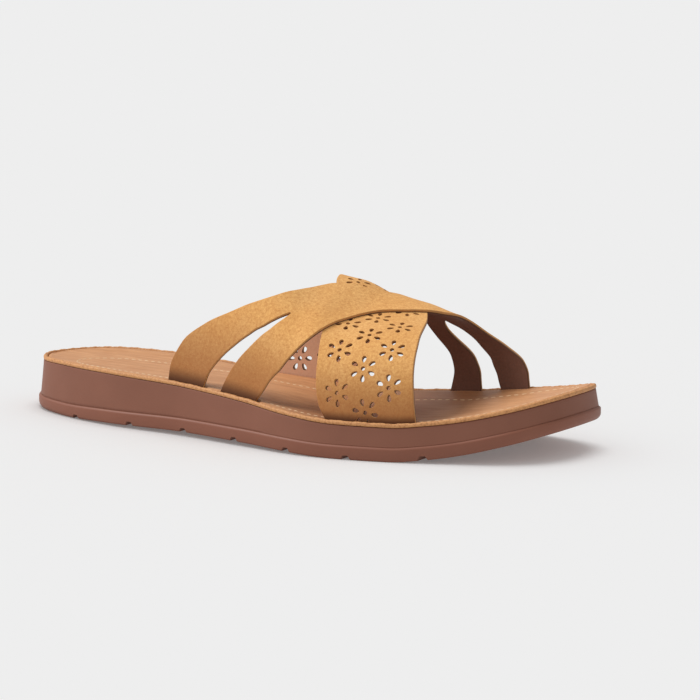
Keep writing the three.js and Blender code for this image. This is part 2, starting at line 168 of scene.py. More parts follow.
# at is the share of the length from the heel. The outline's half widths are shares of the sole's
# width, the profile's heights are shares of toeSpring, archRise or heelHeight, and round is a share of
# edgeRounding.
outline = {
    "at": [0, 0.03, 0.1, 0.22, 0.36, 0.5, 0.62, 0.74, 0.85, 0.94, 0.985, 1],
    "outer": [-0.079, 0.184, 0.369, 0.528, 0.55, 0.554, 0.591, 0.545, 0.425, 0.292, 0.132, -0.118],
    "inner": [0.079, 0.325, 0.451, 0.462, 0.389, 0.343, 0.391, 0.453, 0.475, 0.411, 0.312, 0.118],
}
profile = {
    "at": [0, 0.1, 0.2, 0.28, 0.37, 0.48, 0.58, 0.67, 0.76, 0.814, 0.86, 0.93, 1],
    "spring": [0, 0, 0, 0, 0, 0, 0, 0, 0, 0.1, 0.245, 0.585, 1],
    "arch": [0, 0, 0.5, 0.8, 1, 0.9, 0.5, 0, 0, 0, 0, 0, 0],
    "wall": [0.974, 1.024, 0.986, 0.938, 0.874, 0.793, 0.69, 0.648, 0.643, 0.64, 0.633, 0.618, 0.61],
    "inner": [0, -0.005, -0.015, -0.04, -0.065, -0.06, -0.04, 0.04, 0.12, 0.14, 0.12, 0.06, 0],
    "cup": [0, 0.07, 0.08, 0.06, 0.03, 0.02, 0.02, 0.04, 0.04, 0.04, 0.03, 0.02, 0],
    "round": [1, 0.6, 0.35, 0.3, 0.3, 0.3, 0.3, 0.3, 0.3, 0.35, 0.45, 0.75, 1],
}


def lookup(table, column, key):  # smooth value of a column that never overshoots its rows
    x = np.array(next(iter(table.values())), float)
    v = np.array(table[column], float)
    slope = np.diff(v) / np.diff(x)
    tangent = np.zeros(len(x))
    tangent[0], tangent[-1] = slope[0], slope[-1]
    together = slope[:-1] * slope[1:]
    total = np.where(together > 0, slope[:-1] + slope[1:], 1)
    tangent[1:-1] = np.where(together > 0, 2 * together / total, 0)
    k = np.clip(key, x[0], x[-1])
    i = np.clip(np.searchsorted(x, k) - 1, 0, len(x) - 2)
    span = x[i + 1] - x[i]
    s = (k - x[i]) / span
    return (v[i] * (1 + 2 * s) * (1 - s) ** 2 + tangent[i] * span * s * (1 - s) ** 2
            + v[i + 1] * s * s * (3 - 2 * s) - tangent[i + 1] * span * s * s * (1 - s))


def smoothstep(value, low, high):  # 0 below low, 1 above high
    s = np.clip((value - low) / (high - low), 0, 1)
    return s * s * (3 - 2 * s)


def lerp(a, b, share):
    return a + (b - a) * share


def underside(at):  # height of the sole's underside above the ground
    return sole["toeSpring"] * lookup(profile, "spring", at) + sole["archRise"] * lookup(profile, "arch", at)


def wallTop(at, innerShare):  # height of the side wall's top
    wall = lookup(profile, "wall", at) + innerShare * lookup(profile, "inner", at)
    return underside(at) + sole["heelHeight"] * wall


def cupDepth(at):  # how far the footbed's middle lies below its edge
    return sole["heelHeight"] * lookup(profile, "cup", at)


def outlineRing():  # the outline as one closed curve through its rows, heel tip first
    at = np.array(outline["at"])
    width = lerp(sole["heelWidth"], sole["ballWidth"], smoothstep(at, *sole["widening"]))
    outer = np.stack([np.array(outline["outer"]) * width, at * sole["length"]], 1)
    inner = np.stack([-np.array(outline["inner"]) * width, at * sole["length"]], 1)
    rows = np.concatenate([outer, inner[-2:0:-1]])
    steps = sole["stationsPerRow"]
    u = (np.arange(steps) / steps)[:, None]
    points = []
    for i in range(len(rows)):
        p0, p1, p2, p3 = (rows[(i + k) % len(rows)] for k in (-1, 0, 1, 2))
        d0, d1, d2 = (np.sum((b - a) ** 2) ** 0.25 for a, b in ((p0, p1), (p1, p2), (p2, p3)))
        t1 = d1 * ((p1 - p0) / d0 - (p2 - p0) / (d0 + d1) + (p2 - p1) / d1)
        t2 = d1 * ((p2 - p1) / d1 - (p3 - p1) / (d1 + d2) + (p3 - p2) / d2)
        points.append(p1 + t1 * u + (3 * (p2 - p1) - 2 * t1 - t2) * u ** 2
                      + (2 * (p1 - p2) + t1 + t2) * u ** 3)
    return np.concatenate(points)


ring = outlineRing()
ringCount = len(ring)
half = ringCount // 2  # index of the toe tip, where index 0 is the heel tip
along = np.roll(ring, -1, 0) - np.roll(ring, 1, 0)
ringNormals = np.stack([along[:, 1], -along[:, 0]], 1)
ringNormals /= np.linalg.norm(ringNormals, axis=1)[:, None]
ringAt = np.clip(ring[:, 1] / sole["length"], 0, 1)
ringInner = (np.arange(ringCount) > half).astype(float)
ringTop = wallTop(ringAt, ringInner)
ringUnder = underside(ringAt)


def edgeX(at, innerShare):  # x of the side wall's top on the outer or the inner side
    side = np.concatenate([ring[:1], ring[half:][::-1]]) if innerShare else ring[:half + 1]
    return np.interp(np.asarray(at) * sole["length"], side[:, 1], side[:, 0])


def ringLevel(offset, height):  # one ring round the sole, moved out by offset and set at height
    offset = np.broadcast_to(offset, ringCount)
    moved = ring + ringNormals * offset[:, None]
    return np.column_stack([moved, np.broadcast_to(height, ringCount)])


def wallFaces(levels, closed=False):  # faces between one ring and the next
    faces = []
    for r in range(levels if closed else levels - 1):
        low, high = r * ringCount, (r + 1) % levels * ringCount
        for i in range(ringCount):
            j = (i + 1) % ringCount
            faces.append((low + i, low + j, high + j, high + i))
    return faces


def flat(at):  # for a face that doesn't sag
    return 0 * at


def slab(levels, topSag, bottomSag):  # closed body between rings, lowest first
    points = [np.concatenate(levels)]
    faces = wallFaces(len(levels))
    total = len(levels) * ringCount
    columns = sole["columns"]
    for level, sag, upward in ((0, bottomSag, False), (len(levels) - 1, topSag, True)):
        first = level * ringCount
        share = np.arange(1, columns) / columns
        rows = []
        for k in range(1, half):
            a, b = levels[level][k], levels[level][ringCount - k]
            row = lerp(a, b, share[:, None])
            row[:, 2] -= sag(np.clip(row[:, 1] / sole["length"], 0, 1)) * (1 - (2 * share - 1) ** 4)
            points.append(row)
            rows.append([first + k, *range(total, total + columns - 1), first + ringCount - k])
            total += columns - 1
        for c in range(columns):
            patch = [(first, rows[0][c], rows[0][c + 1]), (first + half, rows[-1][c + 1], rows[-1][c])]
            for lower, upper in zip(rows, rows[1:]):
                patch.append((lower[c], upper[c], upper[c + 1], lower[c + 1]))
            faces += patch if upward else [face[::-1] for face in patch]
    return np.concatenate(points), faces


def makePiece(name, points, faces, materials, slots=None, sharpAngle=40, marks=None):
    # marks are values at the points that a material reads by their label
    mesh = bpy.data.meshes.new(name)
    scaled = (np.asarray(points) - np.array(sole["middle"])) / 1000
    mesh.from_pydata(scaled.tolist(), [], [tuple(int(i) for i in face) for face in faces])
    for material in materials:
        mesh.materials.append(material)
    if slots is not None:
        mesh.polygons.foreach_set("material_index", np.asarray(slots, dtype=np.int32))
    for label, values in (marks or {}).items():
        mesh.attributes.new(label, "FLOAT", "POINT").data.foreach_set("value", np.asarray(values, float))
    mesh.shade_smooth()
    mesh.set_sharp_from_angle(angle=radians(sharpAngle))
    piece = bpy.data.objects.new(name, mesh)
    scene.collection.objects.link(piece)
    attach(piece, "root")
    return piece


# Outsole: moulded rubber, the tread layer
outsole = {
    "colour": "#84503d",
    "dusty": "#8a5743",
    "roughness": 0.52,
    "grooves": [0.134, 0.258, 0.369, 0.479, 0.588, 0.695, 0.814],  # shares of the sole's length
    "grooveWidth": 4.2,
    "grooveRoof": 2.4,
    "grooveDepth": 1.8,
    "grooveReach": 80,  # how far its cutter goes to each side
    "ledge": [  # top of its step: how far in, and height above the edge
        (0, -0.95), (0.06, -0.62), (0.2, -0.34), (0.42, -0.12), (0.66, 0.04), (0.84, 0.14), (1.3, 0.16)],
    "treadPitch": 8.957,  # shallow slanting ribs on the underside
    "mottle": 14,
    "grain": 0.5,
}

# satin rubber from a sparked mould: a soft gloss with fine grain, and shallow ribs underneath
rubber, tree, place = newMaterial("moulded_rubber_satin")
mottle = addNode(tree, "ShaderNodeTexNoise", {
    "Scale": perMetre(outsole["mottle"]), "Detail": 3}, {"Vector": place})
tone = addNode(tree, "ShaderNodeMix", {
    "data_type": "RGBA", 6: linearFromHex(outsole["colour"]), 7: linearFromHex(outsole["dusty"])},
    {0: mottle.outputs["Fac"]})
grain = addNode(tree, "ShaderNodeTexNoise", {
    "Scale": perMetre(outsole["grain"]), "Detail": 2}, {"Vector": place})
gloss = addNode(tree, "ShaderNodeMapRange", {
    "To Min": outsole["roughness"] - 0.06, "To Max": outsole["roughness"] + 0.08},
    {"Value": grain.outputs["Fac"]})
ribs = addNode(tree, "ShaderNodeTexWave", {  # a sine of ten times x plus y
    "wave_type": "BANDS", "bands_direction": "DIAGONAL", "Distortion": 0.0,
    "Scale": perMetre(outsole["treadPitch"]) * 2 * pi / (10 * 2 ** 0.5)}, {"Vector": place})
facing = addNode(tree, "ShaderNodeNewGeometry")
upDown = addNode(tree, "ShaderNodeSeparateXYZ", links={"Vector": facing.outputs["True Normal"]})
below = addNode(tree, "ShaderNodeMapRange", {"From Min": -0.7, "From Max": -0.95}, {
    "Value": upDown.outputs["Z"]})
tread = addNode(tree, "ShaderNodeMath", {"operation": "MULTIPLY"}, {
    0: ribs.outputs["Fac"], 1: below.outputs["Result"]})
treadBump = addNode(tree, "ShaderNodeBump", {"Strength": 0.5, "Distance": 0.0006}, {
    "Height": tread.outputs["Value"]})
grainBump = addNode(tree, "ShaderNodeBump", {"Strength": 0.12, "Distance": 0.0002}, {
    "Height": grain.outputs["Fac"], "Normal": treadBump.outputs["Normal"]})
surface = addNode(tree, "ShaderNodeBsdfPrincipled", {"IOR": 1.52, "Specular IOR Level": 0.35}, {
    "Base Color": tone.outputs[2], "Roughness": gloss.outputs["Result"],
    "Normal": grainBump.outputs["Normal"]})
closeMaterial(tree, surface.outputs["BSDF"])

out = sole["wallFlare"] + sole["outsoleStep"]
outsoleTop = ringUnder + sole["outsoleThickness"]
rounding = sole["edgeRounding"] * lookup(profile, "round", ringAt)
turn = np.linspace(0, pi / 2, 7)
levels = [ringLevel(out - rounding * (1 - sin(a)), ringUnder + rounding * (1 - cos(a))) for a in turn]
levels += [ringLevel(out - inset, outsoleTop + height) for inset, height in outsole["ledge"]]
points, faces = slab(levels, flat, flat)
blank = makePiece("outsole_blank", points, faces, [rubber])

w, r, d = outsole["grooveWidth"] / 2, outsole["grooveRoof"] / 2, outsole["grooveDepth"]
section = [(-w, -6), (w, -6), (w, 0), (lerp(w, r, 0.8), d * 0.75), (r * 0.8, d), (-r * 0.8, d),
           (-lerp(w, r, 0.8), d * 0.75), (-w, 0)]
cutterPoints, cutterFaces = [], []
for at in outsole["grooves"]:  # one bar across the sole for each groove, its roof rounded
    first, n = len(cutterPoints), len(section)
    for x in (-outsole["grooveReach"], outsole["grooveReach"]):
        cutterPoints += [(x, at * sole["length"] + y, float(underside(at)) + z) for y, z in section]
    cutterFaces += [[first + i for i in range(n)][::-1], [first + n + i for i in range(n)]]
    for i in range(n):
        j = (i + 1) % n
        cutterFaces.append((first + i, first + j, first + n + j, first + n + i))
cutter = makePiece("groove_cutter", cutterPoints, cutterFaces, [rubber])
cut = blank.modifiers.new("grooves", "BOOLEAN")
cut.operation, cut.solver, cut.object = "DIFFERENCE", "EXACT", cutter
bpy.context.view_layer.update()
cutMesh = bpy.data.meshes.new_from_object(blank.evaluated_get(bpy.context.evaluated_depsgraph_get()))
cutMesh.name = "outsoleRubber"
cutMesh.shade_smooth()
cutMesh.set_sharp_from_angle(angle=radians(32))
for spare in (cutter, blank):
    bpy.data.objects.remove(spare)
outsolePiece = bpy.data.objects.new("outsoleRubber", cutMesh)
scene.collection.objects.link(outsolePiece)
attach(outsolePiece, "root")
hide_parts("outsole")
print("outsole made:", len(cutMesh.polygons), "faces")

# Midsole: EVA foam moulded with a skin, the side wall and its tray
midsole = {
    "colour": "#8c5843",
    "worn": "#7a4a36",
    "roughness": 0.58,
    "cloud": 22,
    "skin": 0.7,  # pebbles of its skin
    "foot": 0.18,  # above the outsole's edge
    "footChamfer": (0.1, 0.12),  # in and up
    "clearance": 0.3,  # between it and what is glued to it
    "traySink": 1.8,
    "edgeRadius": 0.4,
}

# moulded foam with a closed skin: satin, slightly cloudy, finely pebbled
foam, tree, place = newMaterial("moulded_eva_foam")
cloud = addNode(tree, "ShaderNodeTexNoise", {
    "Scale": perMetre(midsole["cloud"]), "Detail": 4}, {"Vector": place})
tone = addNode(tree, "ShaderNodeMix", {
    "data_type": "RGBA", 6: linearFromHex(midsole["worn"]), 7: linearFromHex(midsole["colour"])},
    {0: cloud.outputs["Fac"]})
pebble = addNode(tree, "ShaderNodeTexNoise", {
    "Scale": perMetre(midsole["skin"]), "Detail": 3}, {"Vector": place})
gloss = addNode(tree, "ShaderNodeMapRange", {
    "To Min": midsole["roughness"] - 0.07, "To Max": midsole["roughness"] + 0.07},
    {"Value": pebble.outputs["Fac"]})
bump = addNode(tree, "ShaderNodeBump", {"Strength": 0.15, "Distance": 0.0002}, {
    "Height": pebble.outputs["Fac"]})
surface = addNode(tree, "ShaderNodeBsdfPrincipled", {"IOR": 1.49}, {
    "Base Color": tone.outputs[2], "Roughness": gloss.outputs["Result"], "Normal": bump.outputs["Normal"]})
closeMaterial(tree, surface.outputs["BSDF"])

binding = {
    "width": 1.6,
    "height": 1.55,
    "gap": 0.15,  # above the side wall
    "colour": "#d0965f",
    "shade": "#a86d40",
    "roughness": 0.6,
    "wrinkle": 0.9,
}
foot = outsoleTop + midsole["foot"]
r = midsole["edgeRadius"]
inward, upward = midsole["footChamfer"]
levels = [ringLevel(sole["wallFlare"] - inward, foot), ringLevel(sole["wallFlare"], foot + upward)]
for share in np.linspace(0.08, 0.92, 9):  # the wall leans in, a little hollow
    levels.append(ringLevel(sole["wallFlare"] * (1 - share) ** 1.12, lerp(foot, ringTop, share)))
levels += [ringLevel(-r * (1 - cos(a)), ringTop - r * (1 - sin(a))) for a in (0, pi / 6, pi / 3, pi / 2)]
trayFloor = ringTop - midsole["traySink"]
levels += [ringLevel(-binding["width"], ringTop), ringLevel(-binding["width"], trayFloor)]
points, faces = slab(levels, cupDepth, flat)
midsolePiece = makePiece("midsoleWall", points, faces, [foam], sharpAngle=50)
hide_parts("midsole")
print("midsole made")

# Edge binding: a narrow strip of faux leather wrapped round the footbed's edge

# coated cloth pulled over the edge: a soft lighter line with small wrinkles across it
wrap, tree, place = newMaterial("faux_leather_binding")
wrinkle = addNode(tree, "ShaderNodeTexNoise", {
    "Scale": perMetre(binding["wrinkle"]), "Detail": 3, "Roughness": 0.6}, {"Vector": place})
fold = addNode(tree, "ShaderNodeMapRange", {"From Min": 0.3, "From Max": 0.55}, {
    "Value": wrinkle.outputs["Fac"]})
tone = addNode(tree, "ShaderNodeMix", {
    "data_type": "RGBA", 6: linearFromHex(binding["shade"]), 7: linearFromHex(binding["colour"])},
    {0: fold.outputs["Result"]})
bump = addNode(tree, "ShaderNodeBump", {"Strength": 0.35, "Distance": 0.0004}, {
    "Height": wrinkle.outputs["Fac"]})
surface = addNode(tree, "ShaderNodeBsdfPrincipled", {"Roughness": binding["roughness"], "IOR": 1.48}, {
    "Base Color": tone.outputs[2], "Normal": bump.outputs["Normal"]})
closeMaterial(tree, surface.outputs["BSDF"])

foot = ringTop + binding["gap"]
w, h = binding["width"], binding["height"]
station = np.arange(ringCount)
sway = 0.06 * np.sin(station * 0.9) + 0.05 * np.sin(station * 2.3 + 1)  # its uneven height, as a share
section = [(-0.2, 0), (0.08, 0.12), (0.15, 0.35), (0.12, 0.6), (0, 0.8), (-0.16, 0.92), (-0.35, 1),
           (-w / 2 - 0.05, 1.04), (-w + 0.35, 1), (-w + 0.1, 0.92), (-w, 0.75), (-w, 0)]
levels = [ringLevel(offset, foot + h * share * (1 + sway * (share > 0.5))) for offset, share in section]
bindingPiece = makePiece(
    "edgeBindingStrip", np.concatenate(levels), wallFaces(len(levels), True), [wrap], sharpAngle=60)
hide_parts("edge_binding")
print("edge binding made")

# Straps: the arch over the instep and the two straps on it
straps = {
    "thickness": 1.6,
    "instepHeight": 54.5,
    "plainWidth": 25.0,
    "perforatedWidth": 39.0,
    "rise": 1.0,  # height above the side wall's top where they start to arch
    "crownShift": -5.0,  # of the arch's highest line, towards the inner side
    "crownTurn": (0.35, 0.75),  # from the outer side's heights to the inner side's
    "archFullness": 3.0,  # 2 is an ellipse, more is squarer
    "crossingRamp": 14.0,  # over which the plain strap climbs onto the other one
    "seamBite": 0.3,
    "inset": 2.05,  # outer face of the straps' ends, inside the sole's edge
    "tuck": 2.5,  # how deep the ends go down beside the footbed
    "planAt": 0.62,  # share of the length at which the flat plan is measured
    "mesh": 1.15,  # spacing of the points
    "edgeSpacing": 1.3,  # and along the edges
    "edgeRadius": 0.35,
    "holeRadius": 0.1,
}
# the arch's height as shares of instepHeight; each strap's middle as shares of the sole's length and
# its width as shares of its own; each slot's edges as shares of the plain strap's width; around is 0 at
# the outer side's end and 1 at the inner one's
arch = {
    "at": [0.3, 0.45, 0.52, 0.58, 0.64, 0.7, 0.78, 0.86],
    "outer": [1, 0.98, 0.86, 0.73, 0.645, 0.628, 0.591, 0.55],
    "inner": [0.72, 0.82, 0.925, 0.92, 0.81, 0.715, 0.604, 0.52],
}
plainStrap = {
    "around": [0, 0.05, 0.1, 0.15, 0.2, 0.25, 0.3, 0.36, 0.42, 0.48, 0.53, 0.58, 0.64, 0.7, 0.76, 0.82,
               0.88, 0.94, 1],
    "middle": [0.4204, 0.4327, 0.4528, 0.4844, 0.5242, 0.5513, 0.5683, 0.5815, 0.5922, 0.6078, 0.636, 0.669,
               0.692, 0.7035, 0.7175, 0.7435, 0.7705, 0.7788, 0.779],
    "width": [1.899, 2.043, 2.04, 1.762, 1.31, 1.096, 0.984, 0.938, 0.964, 1.066, 1.306, 1.285, 1.081,
              0.989, 1.091, 1.214, 1.275, 1.321, 1.408],
}
perforatedStrap = {
    "around": [0, 0.05, 0.12, 0.2, 0.28, 0.35, 0.42, 0.5, 0.56, 0.62, 0.7, 0.8, 0.9, 1],
    "middle": [0.7245, 0.7152, 0.708, 0.7007, 0.6907, 0.68, 0.6695, 0.6555, 0.64, 0.627, 0.6105, 0.5475,
               0.4815, 0.449],
    "width": [0.935, 1.01, 1.033, 1.023, 1.03, 1.02, 1.013, 1.013, 1.033, 0.994, 0.922, 1.013, 1.131,
              1.098],
}
outerSlot = {
    "around": [0, 0.03, 0.06, 0.09, 0.12, 0.15, 0.18, 0.22, 0.25, 0.272],
    "rear": [0.397, 0.403, 0.43, 0.465, 0.498, 0.504, 0.466, 0.423, 0.407, 0.41],
    "front": [0.592, 0.601, 0.615, 0.625, 0.629, 0.614, 0.569, 0.502, 0.459, 0.43],
}
innerSlot = {
    "around": [0.75, 0.775, 0.8, 0.85, 0.9, 0.95, 1],
    "rear": [0.423, 0.324, 0.282, 0.322, 0.336, 0.357, 0.388],
    "front": [0.442, 0.597, 0.624, 0.584, 0.553, 0.586, 0.634],
}


def archPoint(at, around, lift, drop=0.0):  # point on the straps' arch, lift above the lining
    at, around = np.asarray(at, float), np.asarray(around, float)
    reachIn = straps["inset"] + straps["thickness"]
    outerX, innerX = edgeX(at, 0) - reachIn, edgeX(at, 1) + reachIn
    c, s = np.cos(pi * around), np.maximum(0, np.sin(pi * around))
    n = straps["archFullness"]
    reach = (np.abs(c) ** n + s ** n) ** (-1 / n)
    base = lerp(wallTop(at, 0), wallTop(at, 1), (1 - c) / 2) + straps["rise"]
    crown = straps["instepHeight"] * lerp(
        lookup(arch, "outer", at), lookup(arch, "inner", at), smoothstep(around, *straps["crownTurn"]))
    x = (outerX + innerX) / 2 + c * reach * (outerX - innerX) / 2 + straps["crownShift"] * s * reach
    return np.stack([x + lift * c, at * sole["length"], base + crown * s * reach + lift * s - drop], -1)


def strapEdges(table, width):  # a function that gives the rear and the front edge
    def edges(around):
        middle = lookup(table, "middle", around)
        halfWidth = lookup(table, "width", around) * width / sole["length"] / 2
        return middle - halfWidth, middle + halfWidth
    return edges


plainEdges = strapEdges(plainStrap, straps["plainWidth"])
perforatedEdges = strapEdges(perforatedStrap, straps["perforatedWidth"])


def slotEdges(table):
    def edges(around):
        rear, front = plainEdges(around)
        return tuple(lerp(rear, front, lookup(table, side, around)) for side in ("rear", "front"))
    return edges


def crossingLift(at, around):  # how far the plain strap is lifted where it lies over the other one
    rear, front = perforatedEdges(around)
    away = np.maximum(np.maximum(rear - at, at - front), 0) * sole["length"]
    return (straps["thickness"] - straps["seamBite"]) * (1 - smoothstep(away, 0, straps["crossingRamp"]))


# The straps are cut in a flat plan: s runs along the arch in millimetres, y along the sole.


def lengthAlong(points):  # length of a line from its start to each of its points
    return np.concatenate([[0], np.cumsum(np.linalg.norm(np.diff(points, axis=0), axis=1))])


turns = np.linspace(0, 1, 401)
arcLength = lengthAlong(archPoint(np.full(len(turns), straps["planAt"]), turns, 0.0))
archLength = arcLength[-1]


def aroundOf(s):
    return np.interp(s, arcLength, turns)


def strapPoint(plan, lift):  # plan point (s, y) to space; beyond the arch it goes straight down
    s, y = plan[..., 0], plan[..., 1]
    drop = np.maximum(-s, 0) + np.maximum(s - archLength, 0)
    return archPoint(y / sole["length"], aroundOf(s), lift, drop)


def noLift(at, around):  # for a strap that lies right on the arch
    return 0 * at


def planFrame(plan, liftOf=noLift):  # steps in space for one millimetre of the plan, along s and along y
    def laid(moved):
        return strapPoint(moved, liftOf(moved[:, 1] / sole["length"], aroundOf(moved[:, 0])))
    h = 0.05
    ds, dy = np.array([h, 0]), np.array([0, h])
    return tuple((laid(plan + step) - laid(plan - step)) / (2 * h) for step in (ds, dy))


def planMove(plan, move):  # plan points after a move in space
    u, v = planFrame(plan)
    a, b, c = np.sum(u * u, 1), np.sum(u * v, 1), np.sum(v * v, 1)
    p, q = np.sum(u * move, 1), np.sum(v * move, 1)
    return plan + np.stack([c * p - b * q, a * q - b * p], 1) / (a * c - b * b)[:, None]


def intoMaterial(loop, hole):  # unit vectors in space from a loop's points into the material
    ahead = strapPoint(np.roll(loop, -1, 0), 0) - strapPoint(np.roll(loop, 1, 0), 0)
    u, v = planFrame(loop)
    side = np.cross(np.cross(u, v), ahead)
    side /= np.linalg.norm(side, axis=1)[:, None]
    x, y = loop[:, 0], loop[:, 1]
    clockwise = np.sum(x * np.roll(y, -1) - y * np.roll(x, -1)) < 0
    return side if clockwise == hole else -side


def insideLoop(loop, points):  # which plan points a loop holds
    inside = np.zeros(len(points), bool)
    for (x0, y0), (x1, y1) in zip(loop, np.roll(loop, -1, 0)):
        if y0 != y1:
            crosses = (y0 > points[:, 1]) != (y1 > points[:, 1])
            inside ^= crosses & (points[:, 0] < x0 + (points[:, 1] - y0) * (x1 - x0) / (y1 - y0))
    return inside


def insideStrap(loops, points):  # inside the border, outside every hole
    keep = insideLoop(loops[0], points)
    for loop in loops[1:]:
        near = np.flatnonzero(keep & np.all((points > loop.min(0)) & (points < loop.max(0)), 1))
        keep[near[insideLoop(loop, points[near])]] = False
    return keep


def strapMesh(border, holes, liftOf):  # cut from the plan, laid on the arch, with rounded edges
    thick, spacing = straps["thickness"], straps["mesh"]
    loops = [(border, intoMaterial(border, False), straps["edgeRadius"])]
    loops += [(hole, intoMaterial(hole, True), straps["holeRadius"]) for hole in holes]
    flats = [planMove(loop, into * radius) for loop, into, radius in loops]
    low, high = border.min(0), border.max(0)
    gridS, gridY = np.meshgrid(
        np.arange(low[0], high[0], spacing), np.arange(low[1], high[1], spacing * 0.87))
    gridS[1::2] += spacing / 2  # rows of even-sided triangles
    grid = np.stack([gridS.ravel(), gridY.ravel()], 1)
    grid = grid[insideStrap(flats, grid)]
    edgePoints = np.concatenate(flats)
    tree = KDTree(len(edgePoints))
    for i, point in enumerate(edgePoints):
        tree.insert((*point, 0), i)
    tree.balance()
    grid = grid[[tree.find((*point, 0))[2] > 0.45 * spacing for point in grid]]  # not too near an edge
    constraints, first = [], 0
    for flat in flats:
        constraints += [(first + i, first + (i + 1) % len(flat)) for i in range(len(flat))]
        first += len(flat)
    laid = np.concatenate([edgePoints, grid])
    plan, _, triangles, origins, _, _ = delaunay_2d_cdt([Vector(p) for p in laid], constraints, [], 0, 1e-5)
    plan = np.array([tuple(p) for p in plan])
    triangles = np.array([tuple(t) for t in triangles])
    triangles = triangles[insideStrap(flats, plan[triangles].mean(1))]
    placeOf = {old: new for new, olds in enumerate(origins) for old in olds}

    lift = liftOf(plan[:, 1] / sole["length"], aroundOf(plan[:, 0]))
    u, v = planFrame(plan, liftOf)
    up = np.cross(v, u)
    up /= np.linalg.norm(up, axis=1)[:, None]
    count = len(plan)
    points, normals = [strapPoint(plan, lift + thick), strapPoint(plan, lift)], [up, -up]
    marks = [plan[:, 0], plan[:, 0]]
    faces = [tuple(t) for t in triangles] + [tuple(count + i for i in t[::-1]) for t in triangles]
    slots = [0] * len(triangles) + [1] * len(triangles)
    total, first = 2 * count, 0
    for loop, into, r in loops:  # the cut edge, with its two rims rounded
        m = len(loop)
        raised = liftOf(loop[:, 1] / sole["length"], aroundOf(loop[:, 0]))
        face = [placeOf[first + i] for i in range(m)]
        rows = [face]
        for inset, height, tilt in ((0.3 * r, thick - 0.3 * r, 0.7), (0, thick - r, 0), (0, thick * 0.45, 0),
                                    (0, r, 0), (0.3 * r, 0.3 * r, -0.7)):
            points.append(strapPoint(loop, raised + height) + into * inset)
            normals.append(up[face] * tilt - into * (1 - abs(tilt) * 0.3))
            marks.append(loop[:, 0])
            rows.append(list(range(total, total + m)))
            total += m
        rows.append([count + i for i in face])
        for k, (upper, lower) in enumerate(zip(rows, rows[1:])):
            faces += [(upper[i], lower[i], lower[(i + 1) % m], upper[(i + 1) % m]) for i in range(m)]
            slots += [(0, 2, 2, 3, 3, 3)[k]] * m  # the microfibre and its cut edge above, a dark painted shadow line below
        first += m
    alongStrap = np.concatenate(marks)
    aboveSole = np.minimum(alongStrap, archLength - alongStrap)
    return np.concatenate(points), faces, slots, aboveSole, np.concatenate(normals)


def layStrap(name, border, holes, liftOf, materials):  # materials: face, lining and their cut edges
    points, faces, slots, aboveSole, normals = strapMesh(border, holes, liftOf)
    piece = makePiece(name, points, faces, materials, slots, sharpAngle=180, marks={"aboveSole": aboveSole})
    sheet = bmesh.new()
    sheet.from_mesh(piece.data)
    bmesh.ops.recalc_face_normals(sheet, faces=sheet.faces)
    sheet.to_mesh(piece.data)
    sheet.free()
    normals /= np.linalg.norm(normals, axis=1)[:, None]
    piece.data.normals_split_custom_set_from_vertices(normals.tolist())
    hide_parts("upper")
    print(name, "made:", len(piece.data.polygons), "faces")


def edgeLine(edges, which, start, end):  # plan points along the rear (0) or the front (1) edge
    s = np.linspace(start, end, max(3, int(abs(end - start) / straps["edgeSpacing"]) + 1))
    return np.stack([s, edges(aroundOf(s))[which] * sole["length"]], 1)


def fillAcross(start, end):  # points that fill a straight end between two edges
    return np.linspace(start, end, int(abs(end[1] - start[1]) / straps["edgeSpacing"]) + 2)[1:-1]


def join(*lines):  # one closed loop, without the points that repeat, and filled across the straight ends
    loop = []
    for line in lines:
        if loop and abs(line[0][1] - loop[-1][1]) > 2:
            loop += list(fillAcross(loop[-1], line[0]))
        loop += list(line if not loop or np.linalg.norm(line[0] - loop[-1]) > 0.2 else line[1:])
    return np.concatenate([loop, fillAcross(loop[-1], loop[0])])


nubuck = {
    "light": "#fac57c",
    "middle": "#f3ba6f",
    "deep": "#bf7d42",
    # painted shade: browner low on the legs, where less light falls on them
    "low": "#9c5f35",
    # painted shade: dark at the strap's base, in the join where it goes down beside the footbed
    "paintedBaseShade": "#54301c",
    "blotch": 18,
    "mottle": 1.3,
    "fibre": 0.7,  # nap, drawn coarser than its real 0.1 mm so that it shows
    "paintedLowShadeReach": 30,  # above the sole, up to where it is browner, painted shade of the lower legs
    "paintedBaseShadeReach": 5.0,  # and up to where it is dark, painted shade of the join with the footbed
    "roughness": 0.86,
    "sheen": 0.12,
    "sheenTint": "#f0d0a8",
}

# sanded microfibre with a short nap: no gloss, a fine speckle and faint clouds, browner towards the sole
# and dark at its base, both painted shade of the legs and of their join with the footbed
strapFace, tree, place = newMaterial("nubuck_microfibre")
blotch = addNode(tree, "ShaderNodeTexNoise", {
    "Scale": perMetre(nubuck["blotch"]), "Detail": 3}, {"Vector": place})
mottle = addNode(tree, "ShaderNodeTexNoise", {
    "Scale": perMetre(nubuck["mottle"]), "Detail": 5, "Roughness": 0.7}, {"Vector": place})
fibre = addNode(tree, "ShaderNodeTexNoise", {
    "Scale": perMetre(nubuck["fibre"]), "Detail": 3, "Roughness": 0.7}, {"Vector": place})
cloud = addNode(tree, "ShaderNodeMapRange", {"From Min": 0.35, "From Max": 0.65}, {
    "Value": blotch.outputs["Fac"]})
speck = addNode(tree, "ShaderNodeMapRange", {"From Min": 0.35, "From Max": 0.7}, {
    "Value": mottle.outputs["Fac"]})
fine = addNode(tree, "ShaderNodeMapRange", {"From Min": 0.3, "From Max": 0.7}, {
    "Value": fibre.outputs["Fac"]})
base = addNode(tree, "ShaderNodeMix", {
    "data_type": "RGBA", 6: linearFromHex(nubuck["middle"]), 7: linearFromHex(nubuck["light"])},
    {0: cloud.outputs["Result"]})
